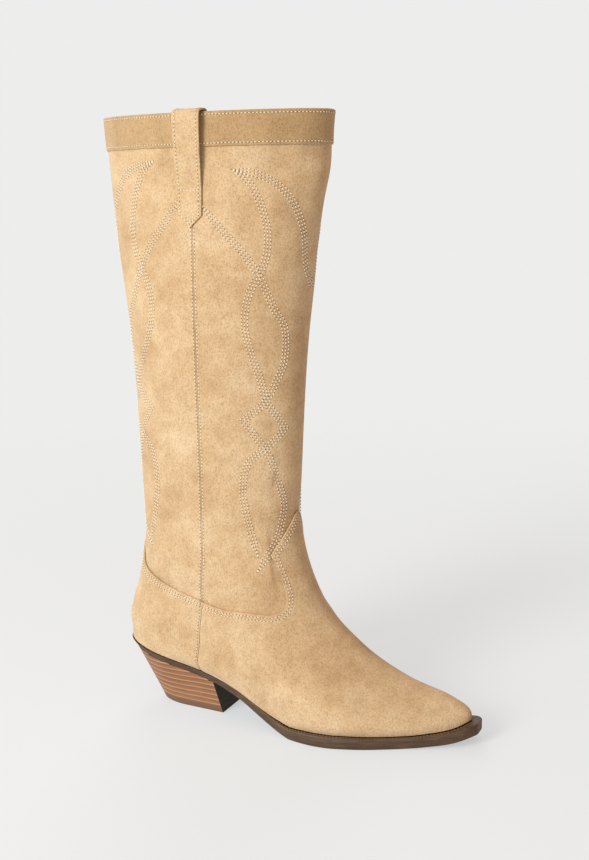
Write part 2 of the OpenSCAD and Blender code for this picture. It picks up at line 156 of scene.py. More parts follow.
def boot(level, angle):
    """Points on the outside of the boot, in millimetres."""
    level, angle = np.broadcast_arrays(np.asarray(level, float), np.asarray(angle, float))
    row = curve(LEVEL, LOOP, level)
    s = station(angle)
    half_at = row[..., 6:]
    h = np.diff(STATION)
    d = np.diff(half_at, axis=-1) / h
    between = (d[..., :-1] * h[1:] + d[..., 1:] * h[:-1]) / (h[1:] + h[:-1])
    m = np.concatenate([d[..., :1], between, d[..., -1:]], -1)
    i = np.clip(np.searchsorted(STATION, s, side="right") - 1, 0, len(STATION) - 2)
    u, w = (s - np.asarray(STATION)[i]) / h[i], h[i]

    def pick(table, k):
        return np.take_along_axis(table, k[..., None], -1)[..., 0]

    half = hermite(u, w, pick(half_at, i), pick(half_at, i + 1), pick(m, i), pick(m, i + 1))
    z0, z1 = sole_line(0.0), sole_line(1.0)
    x = mix(row[..., 0], row[..., 2], s) - MID_X
    y = row[..., 5] * curve(STATION, SWAY, s) - half * np.sin(np.radians(angle))
    z = mix(row[..., 1], row[..., 3], s) + row[..., 4] * (sole_line(s) - mix(z0, z1, s))
    return np.stack([x, y, z], -1)


def normal(level, angle):
    """Directions straight out of the boot's form."""
    d, a = .003, 1.0
    low, high = np.maximum(0, level - d), np.minimum(1, level + d)
    n = np.cross(boot(level, angle + a) - boot(level, angle - a), boot(high, angle) - boot(low, angle))
    return unit(n)


# Soft swells and hollows of the leather: level, angle from the back, height, size
DENTS = [(.957, 176, 2.8, 15), (.885, 172, -1.7, 17), (.955, 140, -2.2, 12), (.925, 156, -1.6, 12),
         (.645, 150, -.9, 7), (.66, 148, .6, 8), (.972, 150, .8, 9), (.80, 112, .7, 30),
         (.66, 150, -.6, 24), (.62, 112, .8, 22), (.53, 100, -.9, 16), (.49, 118, .8, 14),
         (.50, 62, .8, 16), (.56, 74, -.8, 18), (.40, 155, -.5, 9), (.43, 166, .5, 9), (.74, 60, .7, 26),
         (.88, 75, -.6, 22), (.28, 110, .5, 22), (.20, 140, .4, 20)]


def relief(level, angle):
    """Soft hollows and swells of worn leather: every layer follows them."""
    a = fold(angle)
    side = np.where(np.mod(angle, 360) > 180, .85, 1.0)
    out = .22 * np.sin(angle * .07 + level * 21) * ease((level - .1) / .2)
    for l0, a0, depth, size in DENTS:
        away = ((level - l0) * 700 / size) ** 2 + ((a - a0) * 1.15 / size) ** 2
        out = out + depth * side * np.exp(-away)
    return out * ease(level / .1)


def skin(level, angle, out=0.0):
    level, angle = np.broadcast_arrays(np.asarray(level, float), np.asarray(angle, float))
    return boot(level, angle) + (out + relief(level, angle))[..., None] * normal(level, angle)


# Upper edge of the counter and of the vamp from the back's middle to the front's: angle, level, and
# the angle where the column of leather below that point starts at the sole
COUNTER_EDGE = [(0, .571, 0), (6, .567, 4), (11, .552, 7.5), (14.5, .52, 10.5), (16.5, .48, 13),
                (20, .442, 16), (26, .418, 20), (34, .405, 25.5),
                (46, .396, 34), (60, .392, 46), (79, .401, 61)]
VAMP_EDGE = [(79, .401, 61), (98, .416, 78), (112, .424, 100), (124, .428, 122), (131, .436, 134),
             (137.5, .449, 142), (141.5, .464, 146), (143.8, .483, 149), (143.6, .505, 151.5),
             (142.2, .524, 153), (141.4, .538, 154.5), (144.6, .5455, 157), (151, .556, 161),
             (159, .568, 166), (168, .580, 172), (175, .589, 176.5), (180, .592, 180)]
EDGE_AT = [0, 10, 17, 24, 34, 60, 80, 100, 124, 134, 140, 144, 150, 160, 172, 180]
EDGE_LEVEL = [.57, .56, .50, .43, .405, .392, .401, .417, .428, .442, .47, .53, .553, .569, .586, .592]
SEAM_AT = [0, .05, .17, .30, .40, .46]
SEAM_ANGLE = [61, 61.8, 66.3, 72.2, 79, 81]
TUCK = .045


def foot_edge(angle):
    return curve(EDGE_AT, EDGE_LEVEL, fold(angle))


def seam_angle(level):
    return curve(SEAM_AT, SEAM_ANGLE, np.minimum(level, .42))


def side_angle(level):
    return SIDE_ANGLE + curve(SIDE_AT, SIDE_TURN, np.maximum(level, SIDE_AT[0]))


def swing(angle, level):
    """Angle of a column of shaft leather at a level: the side seams run down into the vamp's joint."""
    turn = np.sin(np.radians(angle))
    return angle + turn * np.abs(turn) * (side_angle(level) - SIDE_ANGLE)


def smooth_path(points, count):
    """count points spread evenly, by length on the leather, along a smooth curve through the points."""
    p = np.asarray(points, float)
    step = np.hypot(np.diff(p[:, 0]) * 1.2, np.diff(p[:, 1]) * 400)
    s = np.concatenate([[0], np.cumsum(step)])
    fine = curve(s, p, np.linspace(0, s[-1], 900))
    return even(fine, count=count)


def lengths(points):
    """Length along a line of points, from its start to each point."""
    return np.concatenate([[0], np.cumsum(np.linalg.norm(np.diff(points, axis=0), axis=1))])


def run_of(path):
    """Length on the leather from a path's start to each of its points."""
    return lengths(boot(path[:, 1], path[:, 0]))


def even(path, pitch=None, count=None):
    """The same path with its points evenly spread."""
    run = run_of(path)
    at = np.linspace(0, run[-1], count or max(2, int(run[-1] / pitch) + 1))
    return np.stack([np.interp(at, run, path[:, k]) for k in range(path.shape[1])], -1)


def aside(path, distance):
    """A path moved a distance to its left along the leather. distance may vary along the path."""
    angle, level = path[:, 0], path[:, 1]
    da, dl = .5, .002
    across = (boot(level, angle + da) - boot(level, angle - da)) / (2 * da)
    up = (boot(level + dl, angle) - boot(level - dl, angle)) / (2 * dl)
    tangent = unit(np.gradient(boot(level, angle), axis=0))
    move = np.cross(normal(level, angle), tangent) * np.reshape(distance, (-1, 1))
    aa, al, ll = (across**2).sum(1), (across * up).sum(1), (up**2).sum(1)
    am, lm = (across * move).sum(1), (up * move).sum(1)
    det = aa * ll - al**2
    return path[:, :2] + np.stack([am * ll - lm * al, lm * aa - am * al], -1) / det[:, None]


def clear_of(path, base, distance):
    """The path without the points that came nearer to the base than the distance, at its tight bends."""
    p, q = boot(path[:, 1], path[:, 0]), boot(base[:, 1], base[:, 0])
    near = np.sqrt(((p[:, None] - q[None])**2).sum(-1)).min(1)
    return path[near > distance * .9]


def longer(path, at_start, length):
    """The path carried straight on by a length at one end."""
    p = path[::-1] if at_start else path
    step = p[-1] - p[-4]
    reach = np.linalg.norm(boot(p[-1, 1], p[-1, 0]) - boot(p[-4, 1], p[-4, 0]))
    tail = p[-1] + step * (np.linspace(0, length / reach, 12)[1:, None])
    p = np.concatenate([p, tail])
    return p[::-1] if at_start else p


def mitre(a, b):
    """Cuts path a's end and path b's start where they cross nearest to their meeting."""
    d1, d2 = np.diff(a, axis=0), np.diff(b, axis=0)
    cross = d1[:, None, 0] * d2[None, :, 1] - d1[:, None, 1] * d2[None, :, 0]
    gap = b[None, :-1] - a[:-1, None]
    with np.errstate(divide="ignore", invalid="ignore"):
        t = (gap[..., 0] * d2[None, :, 1] - gap[..., 1] * d2[None, :, 0]) / cross
        u = (gap[..., 0] * d1[:, None, 1] - gap[..., 1] * d1[:, None, 0]) / cross
    hits = np.argwhere((t >= 0) & (t <= 1) & (u >= 0) & (u <= 1))
    if not len(hits):
        return a, b
    i, j = min(hits, key=lambda h: (len(a) - h[0]) + h[1])
    spot = a[i] + d1[i] * t[i, j]
    return np.concatenate([a[:i + 1], [spot]]), np.concatenate([[spot], b[j + 1:]])


# ---------------------------------------------------------------- meshes
def new_mesh(name, verts, faces, material, smooth=True):
    """A mesh object from millimetre points."""
    mesh = bpy.data.meshes.new(name)
    mesh.from_pydata((np.asarray(verts, float) * MM).tolist(), [], faces)
    mesh.validate()
    mesh.polygons.foreach_set("use_smooth", [smooth] * len(mesh.polygons))
    piece = bpy.data.objects.new(name, mesh)
    bpy.context.scene.collection.objects.link(piece)
    for m in material if isinstance(material, list) else [material]:
        mesh.materials.append(m)
    return piece


def loft(name, rings, material, closed=False, sharp=40):
    """A solid from rings of points. Ring point k pairs with point n-1-k at an open end."""
    rings = np.asarray(rings, float)
    m, n = rings.shape[:2]
    faces = []
    for i in range(m if closed else m - 1):
        a, b = i * n, (i + 1) % m * n
        faces += [(a + k, b + k, b + (k + 1) % n, a + (k + 1) % n) for k in range(n)]
    if not closed:
        last = (m - 1) * n
        for k in range(n // 2 - 1):
            faces.append((k, k + 1, n - 2 - k, n - 1 - k))
            faces.append((last + n - 1 - k, last + n - 2 - k, last + k + 1, last + k))
    piece = new_mesh(name, rings.reshape(-1, 3), faces, material)
    piece.data.shade_smooth()
    piece.data.set_sharp_from_angle(angle=math.radians(sharp))
    return piece


def rounded_edge(outer, before, inner, steps=5):
    """Points that round a sheet's edge, from its outer face over to its inner face."""
    mid, half = (outer + inner) / 2, (outer - inner) / 2
    ahead = np.cross(half, np.gradient(outer, axis=0))
    ahead *= np.sign((ahead * (outer - before)).sum(-1, keepdims=True))
    ahead = unit(ahead) * np.linalg.norm(half, axis=-1, keepdims=True)
    turn = np.radians(np.linspace(0, 180, steps + 2)[1:-1])
    return np.stack([mid + half * math.cos(t) + ahead * math.sin(t) * .7 for t in turn], 1)


def sheet(name, levels, angles, out, thick, material, closed=False):
    """A leather sheet: levels and angles are columns x rows, and out is its outer face's distance."""
    outer = skin(levels, angles, out)
    inner = skin(levels, angles, out - thick)
    over = rounded_edge(outer[:, -1], outer[:, -2], inner[:, -1])
    return loft(name, np.concatenate([outer, over, inner[:, ::-1]], 1), material, closed)


def close_rows(count, power=2.2):
    """Row positions 0..1, closer together towards 1."""
    return 1 - (1 - np.linspace(0, 1, count)) ** power


def close_ends(count, gather=.6):
    """Column positions 0..1, closer together towards both ends."""
    u = np.linspace(0, 1, count)
    return mix(u, (1 - np.cos(np.pi * u)) / 2, gather)


# ---------------------------------------------------------------- materials
def link(tree, value, socket):
    if isinstance(value, bpy.types.Node):
        tree.links.new(value.outputs[0], socket)
    elif isinstance(value, bpy.types.NodeSocket):
        tree.links.new(value, socket)
    else:
        socket.default_value = value


def new_material(name):
    made = bpy.data.materials.new(name)
    made.use_nodes = True
    tree = made.node_tree
    tree.nodes.clear()
    shader = tree.nodes.new("ShaderNodeBsdfPrincipled")
    output = tree.nodes.new("ShaderNodeOutputMaterial")
    tree.links.new(shader.outputs[0], output.inputs[0])
    where = tree.nodes.new("ShaderNodeTexCoord").outputs["Object"]
    return made, tree, shader, where


def noise(tree, where, scale, detail=3.0, rough=.5, stretch=None):
    if stretch:
        move = tree.nodes.new("ShaderNodeMapping")
        tree.links.new(where, move.inputs["Vector"])
        move.inputs["Scale"].default_value = stretch
        where = move.outputs[0]
    made = tree.nodes.new("ShaderNodeTexNoise")
    tree.links.new(where, made.inputs["Vector"])
    made.inputs["Scale"].default_value = scale
    made.inputs["Detail"].default_value = detail
    made.inputs["Roughness"].default_value = rough
    return made.outputs["Fac"]


def ramp(tree, value, stops):
    """A colour ramp: stops are (place, colour)."""
    made = tree.nodes.new("ShaderNodeValToRGB")
    link(tree, value, made.inputs[0])
    bar = made.color_ramp.elements
    while len(bar) < len(stops):
        bar.new(.5)
    for element, (place, colour) in zip(bar, stops):
        element.position = place
        element.color = (*colour, 1)
    return made.outputs[0]


def blend_colour(tree, k, a, b, kind="MIX"):
    made = tree.nodes.new("ShaderNodeMix")
    made.data_type = "RGBA"
    made.blend_type = kind
    link(tree, k, made.inputs[0])
    for value, socket in ((a, made.inputs[6]), (b, made.inputs[7])):
        link(tree, (*value, 1) if isinstance(value, tuple) and len(value) == 3 else value, socket)
    return made.outputs[2]


def maths(tree, operation, a, b=0.0, c=0.0):
    made = tree.nodes.new("ShaderNodeMath")
    made.operation = operation
    for value, socket in zip((a, b, c), made.inputs):
        link(tree, value, socket)
    return made.outputs[0]


def bump(tree, height, strength, distance, onto=None):
    made = tree.nodes.new("ShaderNodeBump")
    link(tree, height, made.inputs["Height"])
    made.inputs["Strength"].default_value = strength
    made.inputs["Distance"].default_value = distance
    if onto is not None:
        tree.links.new(onto, made.inputs["Normal"])
    return made.outputs[0]


def surface(tree, shader, colour, rough, height, specular=.5):
    """Joins a finish's colour, roughness and bump to its shader."""
    for value, name in ((colour, "Base Color"), (rough, "Roughness"), (height, "Normal")):
        link(tree, value, shader.inputs[name])
    shader.inputs["Specular IOR Level"].default_value = specular


def suede(name, deep, base, light, nap=1.0):
    """Soft nubuck: fine mealy nap, cloudy tone, sheen at grazing angles."""
    made, tree, shader, where = new_material(name)
    cloud = noise(tree, where, 26, 4, .55)
    patch = noise(tree, where, 90, 3, .6)
    fleck = noise(tree, where, 820, 2, .7)
    weave = noise(tree, where, 1500, 2, .6, stretch=(1, 1, .35))
    tone = ramp(tree, cloud, [(.30, deep), (.50, base), (.72, light)])
    tone = blend_colour(tree, .35, tone, ramp(tree, patch, [(.34, deep), (.66, light)]))
    grain = maths(tree, "MULTIPLY_ADD", fleck, .6, maths(tree, "MULTIPLY", weave, .4))
    speck = ramp(tree, grain, [(.36, (.50, .43, .36)), (.54, (1, 1, 1))])
    tone = blend_colour(tree, .7, tone, speck, "MULTIPLY")
    shader.inputs["Sheen Weight"].default_value = .35
    shader.inputs["Sheen Roughness"].default_value = .7
    shader.inputs["Sheen Tint"].default_value = (1, .86, .66, 1)
    soft = bump(tree, patch, .25, .0008)
    fine = bump(tree, grain, .5 * nap, .00022, soft)
    surface(tree, shader, tone, maths(tree, "MULTIPLY_ADD", patch, .12, .80), fine, .4)
    return made


def lining_leather(name, deep, light):
    """Smooth leather with fine pores."""
    made, tree, shader, where = new_material(name)
    cloud = noise(tree, where, 40, 4, .6)
    pore = tree.nodes.new("ShaderNodeTexVoronoi")
    tree.links.new(where, pore.inputs["Vector"])
    pore.inputs["Scale"].default_value = 900
    tone = ramp(tree, cloud, [(.3, deep), (.7, light)])
    surface(tree, shader, tone, .62, bump(tree, pore.outputs["Distance"], .25, .0002), .35)
    return made


def sole_edge(name, deep, base, light, gloss=.42):
    """Stained sole leather: fine streaks along the edge, burnished patches, pale scuffs."""
    made, tree, shader, where = new_material(name)
    streak = noise(tree, where, 260, 4, .65, stretch=(.25, .25, 3.2))
    cloud = noise(tree, where, 70, 4, .6)
    fibre = noise(tree, where, 1400, 2, .7)
    tone = ramp(tree, streak, [(.28, deep), (.52, base), (.78, light)])
    tone = blend_colour(tree, .3, tone, ramp(tree, cloud, [(.3, deep), (.7, light)]))
    worn = ramp(tree, fibre, [(.35, (.6, .56, .52)), (.6, (1, 1, 1))])
    tone = blend_colour(tree, .35, tone, worn, "MULTIPLY")
    rough = maths(tree, "MULTIPLY_ADD", cloud, .28, gloss)
    surface(tree, shader, tone, rough, bump(tree, streak, .35, .0004, bump(tree, fibre, .3, .0002)), .4)
    return made


def stacked_leather(name, first_z, pitch):
    """The heel's stack: each lift has a pale orange line along its lower edge and waxed brown above."""
    made, tree, shader, where = new_material(name)
    split = tree.nodes.new("ShaderNodeSeparateXYZ")
    tree.links.new(where, split.inputs[0])
    wobble = noise(tree, where, 60, 2, .5, stretch=(1, 1, .2))
    height = maths(tree, "MULTIPLY_ADD", wobble, .0009, split.outputs[2])
    rise = maths(tree, "SUBTRACT", height, first_z + .00045)
    phase = maths(tree, "FRACT", maths(tree, "DIVIDE", rise, pitch))
    streak = noise(tree, where, 420, 4, .7, stretch=(.16, .16, 4))
    cloud = noise(tree, where, 55, 4, .6)
    band = ramp(tree, phase, [(0, (.34, .15, .06)), (.10, (.60, .29, .125)), (.22, (.66, .33, .15)),
                              (.38, (.32, .145, .06)), (.80, (.26, .115, .048)), (1, (.16, .07, .03))])
    worn = ramp(tree, streak, [(.3, (.42, .38, .36)), (.55, (1, 1, 1))])
    tone = blend_colour(tree, .5, band, worn, "MULTIPLY")
    tone = blend_colour(tree, .25, tone, ramp(tree, cloud, [(.3, (.12, .05, .025)), (.7, (.34, .16, .075))]))
    rough = maths(tree, "MULTIPLY_ADD", streak, .25, .34)
    surface(tree, shader, tone, rough, bump(tree, streak, .35, .0003), .45)
    return made


def plain(name, deep, light, rough, scale=300, metallic=0.0, depth=.0002):
    """A simple mottled finish for rubber, thread, board, cork and metal."""
    made, tree, shader, where = new_material(name)
    grain = noise(tree, where, scale, 4, .65)
    tone = ramp(tree, grain, [(.32, deep), (.68, light)])
    shader.inputs["Metallic"].default_value = metallic
    surface(tree, shader, tone, maths(tree, "MULTIPLY_ADD", grain, .15, rough), bump(tree, grain, .4, depth))
    return made


TAN_DEEP, TAN, TAN_LIGHT = (.45, .265, .115), (.58, .39, .20), (.68, .50, .30)
SUEDE = suede("upper_suede", TAN_DEEP, TAN, TAN_LIGHT)
SUEDE_CUT = suede("upper_suede_cut_edge", (.36, .21, .085), (.44, .275, .12), (.51, .335, .16), 1.6)
LINING = lining_leather("lining_leather", (.56, .39, .235), (.68, .50, .32))
THREAD = plain("cream_thread", (.72, .60, .44), (.86, .77, .62), .6, 2600)
# Painted shade: small dark discs laid over the needle holes stand in for the shade inside them
HOLE_SHADE = plain("needle_hole_painted_shade", (.15, .085, .04), (.22, .13, .065), .8, 900)
WELT_THREAD = plain("welt_thread", (.24, .14, .075), (.36, .22, .125), .6, 2600)
OUTSOLE = sole_edge("sole_leather", (.040, .022, .010), (.076, .043, .021), (.135, .080, .042))
WELT_LEATHER = sole_edge("welt_leather", (.038, .021, .010), (.085, .047, .024), (.175, .102, .054))
RUBBER = plain("top_lift_rubber", (.13, .062, .030), (.19, .095, .048), .5, 700)
# The heel's breast: its dark stain, darkened further with painted shade for the shadow under the waist
BREAST_STAIN_AND_SHADE = sole_edge("heel_breast_stain_and_shade", (.016, .012, .007), (.032, .024, .014), (.06, .044, .026), .55)
BOARD = plain("insole_leather", (.46, .31, .18), (.60, .43, .27), .7, 160)
CORK = plain("cork_filler", (.30, .17, .08), (.52, .34, .19), .85, 420, depth=.0006)
FIBRE = plain("stiffener_fibre", (.52, .43, .31), (.64, .55, .42), .9, 500)
TAPE = plain("seam_tape", (.58, .46, .32), (.72, .60, .45), .9, 1400)
STEEL = plain("plain_steel", (.40, .40, .42), (.56, .56, .58), .32, 600, 1.0)
BRASS = plain("plain_brass", (.50, .34, .12), (.70, .50, .22), .35, 600, 1.0)


def fit(piece, body, nodes=()):
    """The piece rides on a body, or for the ankle keeps its place with its transform baked in, and stands for
    its CAD nodes.
    """
    if body == "ankle":
        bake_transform(piece)
    else:
        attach(piece, body)
    if nodes:
        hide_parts(*nodes)
    return piece


# ---------------------------------------------------------------- the foot of the upper
SEAM_RISE = .401
SEAM_SLIT = .10


def seam_profile(t):
    """How far a column of leather has swung from its root to its top, at a share t of its height."""
    return (seam_angle(t * SEAM_RISE) - seam_angle(0)) / (seam_angle(SEAM_RISE) - seam_angle(0))


def columns(edge, count, rows, slit):
    """Levels and angles of a vamp or counter whose top is the edge, mirrored on the inner side."""
    front = edge[-1][0] == 180
    if front:
        path = edge + [(360 - a, l, 360 - root) for a, l, root in reversed(edge[:-1])]
    else:
        path = [(-a, l, -root) for a, l, root in reversed(edge)] + edge[1:]
    top = smooth_path(path, count)
    v = close_rows(rows, 1.6)
    levels = top[:, 1:2] * mix(.003, 1, v)
    t = levels / top[:, 1:2]
    lean = ease((np.abs(fold(top[:, 2:3]) - 61) - 6) / 60)
    swung = mix(seam_profile(t), t**2.6, lean) if front else seam_profile(t)
    angles = mix(top[:, 2:3], top[:, 0:1], swung)
    shift = np.zeros(count)
    shift[0], shift[-1] = slit, -slit
    return levels, angles + shift[:, None]


def seam_dip(levels, angles):
    """The leather is drawn in along the joint between vamp and counter."""
    away = (fold(angles) - seam_angle(levels)) * 1.25
    return -.35 * np.exp(-(away / .8) ** 2) * (levels < .405)


def foot_part(name, edge, count, node):
    levels, angles = columns(edge, count, 64, SEAM_SLIT)
    piece = sheet(name, levels, angles, FOOT_OUT + seam_dip(levels, angles), FOOT_LEATHER, SUEDE)
    return fit(piece, "ankle", [node])


def build_foot():
    foot_part("vamp_suede", VAMP_EDGE, 281, "vamp")
    foot_part("counter_suede", COUNTER_EDGE, 161, "counter")
    angles = np.linspace(0, 360, 145)[:-1, None]
    low, high = .03, foot_edge(angles) - TUCK - .004
    levels = mix(low, high, np.linspace(0, 1, 40)[None])
    out = mix(-3.1, -3.65, ease((levels - high + .08) / .08))
    piece = sheet("foot_lining_leather", levels, np.broadcast_to(angles, levels.shape), out, LINING_LEATHER,
                  LINING, closed=True)
    fit(piece, "ankle", ["foot_lining"])


# ---------------------------------------------------------------- the shaft
def side_scale(level):
    """Millimetres along the leather for each degree, at the side seam."""
    row = curve(LEVEL, LOOP, level)
    return (row[..., 2] - row[..., 0]) / 2 * math.pi / 180


def shaft_out(levels, angles):
    """The shaft lies under the vamp and counter, and comes out flush above them."""
    a = fold(angles)
    cover = np.maximum(foot_edge(a), foot_edge(np.minimum(a + 3, 180)))
    return -1.25 * (1 - ease((levels - cover - .002) / .05))


def side_groove(levels, angles):
    away = (fold(angles) - side_angle(levels)) * side_scale(levels)
    return -.8 * np.exp(-(away / .7) ** 2)


def shaft_sheet(name, angles, inset, thick, material, closed=False, rows=110, low=0.0, high=.9985,
                groove=1.0):
    angles = np.asarray(angles)[:, None]
    levels = mix(foot_edge(swing(angles, 0)) - TUCK + low, high, np.linspace(0, 1, rows)[None])
    angles = swing(angles, levels)
    out = shaft_out(levels, angles) + groove * side_groove(levels, angles) - inset
    return sheet(name, levels, angles, out, thick, material, closed)


def build_shaft():
    slit = .05
    ends = {"front_panel": (SIDE_ANGLE, 360 - SIDE_ANGLE), "back_panel": (-SIDE_ANGLE, SIDE_ANGLE)}
    for name, (first, last) in ends.items():
        angles = mix(first + slit, last - slit, close_ends(161, .75))
        piece = shaft_sheet(name + "_suede", angles, 0, SHAFT_LEATHER, SUEDE)
        fit(piece, "ankle", [name])
    inset = SHAFT_LEATHER + TAPE_ROOM
    piece = shaft_sheet("shaft_lining_leather", np.linspace(0, 360, 145)[:-1], inset, LINING_LEATHER, LINING,
                        closed=True, rows=70, groove=0)
    fit(piece, "ankle", ["shaft_lining"])
    for side, where in ((1, "outer"), (-1, "inner")):
        angles = side * (SIDE_ANGLE + side * np.linspace(-4, 4, 9))
        piece = shaft_sheet("side_tape_" + where + "_cloth", angles, SHAFT_LEATHER + TAPE_T, TAPE_T, TAPE,
                            rows=50, low=.01, high=.97, groove=0)
        fit(piece, "ankle", ["side_tape_" + where])


def collar_level(below):
    return 1 - below / (COLLAR - LOOP[9][1]) * (LEVEL[10] - LEVEL[9])


BAND_OUT = GAP + BAND_T
BAND_IN = -WALL - GAP - BAND_T
TOP_LEVEL = .9995


def lifted(level, angle, out, up):
    return skin(level, angle, out) + np.array([0, 0, 1.0]) * np.reshape(up, (-1, 1))


def build_band():
    """The folded band over the collar: outside, over the top, inside, and back along its hidden face."""
    angles = np.linspace(0, 360, 241)[:-1]
    low = collar_level(BAND_HEIGHT)
    face = np.linspace(low, TOP_LEVEL, 8)
    rows = [(low - .0004, GAP + BAND_T * .35, 0)]
    rows += [(l, BAND_OUT - .12 * (k == 0), 0) for k, l in enumerate(face)]
    mid, half = (BAND_OUT + BAND_IN) / 2, (BAND_OUT - BAND_IN) / 2
    rows += [(TOP_LEVEL, mid + half * math.cos(t), BAND_T * math.sin(t) ** .8)
             for t in np.linspace(0, math.pi, 11)[1:-1]]
    rows += [(l, BAND_IN, 0) for l in face[::-1]] + [(low - .0004, BAND_IN + BAND_T * .65, 0)]
    rows += [(low, -WALL - GAP, 0), (TOP_LEVEL, -WALL - GAP, 0), (TOP_LEVEL, -WALL / 2, .1),
             (TOP_LEVEL, GAP, 0), (low, GAP, 0)]
    rings = np.stack([lifted(np.full(angles.shape, l), angles, out, np.full(angles.shape, up))
                      for l, out, up in rows], 1)
    piece = loft("collar_band_suede", rings, SUEDE_CUT, closed=True)
    fit(piece, "shaft", ["collar_band"])


STRAP_LENGTH, STRAP_POINT, STRAP_LOOP, STRAP_STAND = 76.0, 8.5, 51.0, 5.6
# The strap's inner face: distance below the collar, out from the wall, up
STRAP_ROUTE = [(STRAP_LENGTH, GAP, 0), (STRAP_LENGTH - STRAP_POINT, GAP, 0), (STRAP_LOOP + 4, GAP, 0),
               (STRAP_LOOP, .2, 0), (40, 1.7, 0), (28, 3.6, 0), (14, 5.0, 0), (5, STRAP_STAND - .2, 0),
               (0, STRAP_STAND - .8, .3), (0, STRAP_STAND - 2.4, 1.1), (0, -WALL / 2, 1.4),
               (0, BAND_IN - 1.4, .9), (0, BAND_IN - 2.6, -.6), (6, BAND_IN - 2.8, 0), (22, BAND_IN - 1.9, 0),
               (40, -WALL - .5, 0), (STRAP_LOOP, -WALL - GAP, 0), (64, -WALL - GAP, 0),
               (STRAP_LENGTH, -WALL - GAP, 0)]


def strap_faces(side, across, steps=150):
    """Inner and outer face of a strap: across is the place over its width, -1..1."""
    route = np.asarray(STRAP_ROUTE, float)
    s = lengths(route)
    at = np.sort(np.concatenate([np.linspace(0, s[-1], steps), [s[1], s[1] + .01, s[-1] - STRAP_POINT]]))
    below, out, up = curve(s, route, at).T
    point = np.minimum(1, np.minimum(at, s[-1] - at) / STRAP_POINT)
    half = STRAP_WIDTH / 2 / side_scale(np.array(1.0)) * np.maximum(point, .04)
    angle = side * STRAP_ANGLE + side * half[:, None] * np.asarray(across)[None]
    level = np.broadcast_to(collar_level(np.maximum(below, .05))[:, None], angle.shape)
    inner = skin(level, angle, out[:, None])
    inner[..., 2] += up[:, None]
    along = np.gradient(inner, axis=0)
    face = unit(np.cross(along, np.gradient(inner, axis=1)))
    face *= np.sign((face[:1] * normal(level[:1], angle[:1])).sum(-1, keepdims=True).mean())
    return inner, inner + STRAP_T * face, face


def build_strap(side, where):
    inner, outer, _ = strap_faces(side, np.linspace(-1, 1, 9))
    mid = (inner + outer) / 2
    edge = unit(outer[:, -1] - outer[:, -2])
    left, right = mid[:, 0] - edge * .35, mid[:, -1] + edge * .35
    rings = np.concatenate([outer, right[:, None], inner[:, ::-1], left[:, None]], 1)
    piece = loft("pull_strap_" + where + "_suede", rings, SUEDE, sharp=55)
    fit(piece, "shaft", ["pull_strap_" + where])


# ---------------------------------------------------------------- the sole and heel
SOLE_X = LOOP[0][0] - MID_X
SOLE_LENGTH = LOOP[0][2] - LOOP[0][0]
# The toe's tip is cut off square here, and the welt's seam lies this far out from the upper
SNIP_X = LOOP[0][2] - MID_X + 6.6
WELT_SEAM = 2.4


def outline(angle, out):
    p, d = boot(0, angle), boot(0, angle + 1) - boot(0, angle - 1)
    q = unit(d[..., :2])
    moved = p[..., :2] + np.stack([q[..., 1], -q[..., 0]], -1) * np.reshape(out, (*np.shape(out), 1))
    moved[..., 0] = np.minimum(moved[..., 0], SNIP_X)
    return moved


def seat_trim(s):
    """How far the seat of the outsole is trimmed in, in line with the heel below it."""
    return 3.6 * (1 - ease(s / .28))


def ring_at(xy, z):
    return np.concatenate([xy, np.broadcast_to(np.reshape(z, (-1, 1)), (len(xy), 1))], 1)


def slab(name, rims, material, sharp=35):
    """A plate under the foot from its rims, top to bottom, each a line of points for angles 0..360.
    Its top and bottom faces run across to the middle line."""
    top, low = rims[0], rims[-1]
    rings = np.stack([(top + np.roll(top[::-1], 1, 0)) / 2, *rims, (low + np.roll(low[::-1], 1, 0)) / 2], 1)
    n, k = rings.shape[:2]
    faces = [(i * k + j, (i + 1) % n * k + j, (i + 1) % n * k + j + 1, i * k + j + 1)
             for i in range(n) for j in range(k - 1)]
    piece = new_mesh(name, rings.reshape(-1, 3), faces, material)
    mesh = bmesh.new()
    mesh.from_mesh(piece.data)
    bmesh.ops.remove_doubles(mesh, verts=mesh.verts, dist=2e-6)
    bmesh.ops.dissolve_degenerate(mesh, edges=mesh.edges, dist=1e-6)
    bmesh.ops.recalc_face_normals(mesh, faces=mesh.faces)
    mesh.to_mesh(piece.data)
    mesh.free()
    piece.data.shade_smooth()
    piece.data.set_sharp_from_angle(angle=math.radians(sharp))
    return piece


def sole_top(s):
    return sole_line(s) - np.maximum(welt_gap(s), .9)


def build_outsole():
    a = np.arange(0, 360, 1.5)
    s = station(a)
    edge, trim, top, low = ledge(s), seat_trim(s), sole_top(s), tread(s)
    rows = [(1.5, top), (.25, top), (0, top - .3), (trim * .5, mix(low, top, .5)), (trim + .1, low + .8),
            (trim + .6, low + .15), (trim + 1.6, low)]
    rims = [ring_at(outline(a, edge - inset), z) for inset, z in rows]
    fit(slab("outsole_leather", rims, OUTSOLE), "foot", ["outsole"])


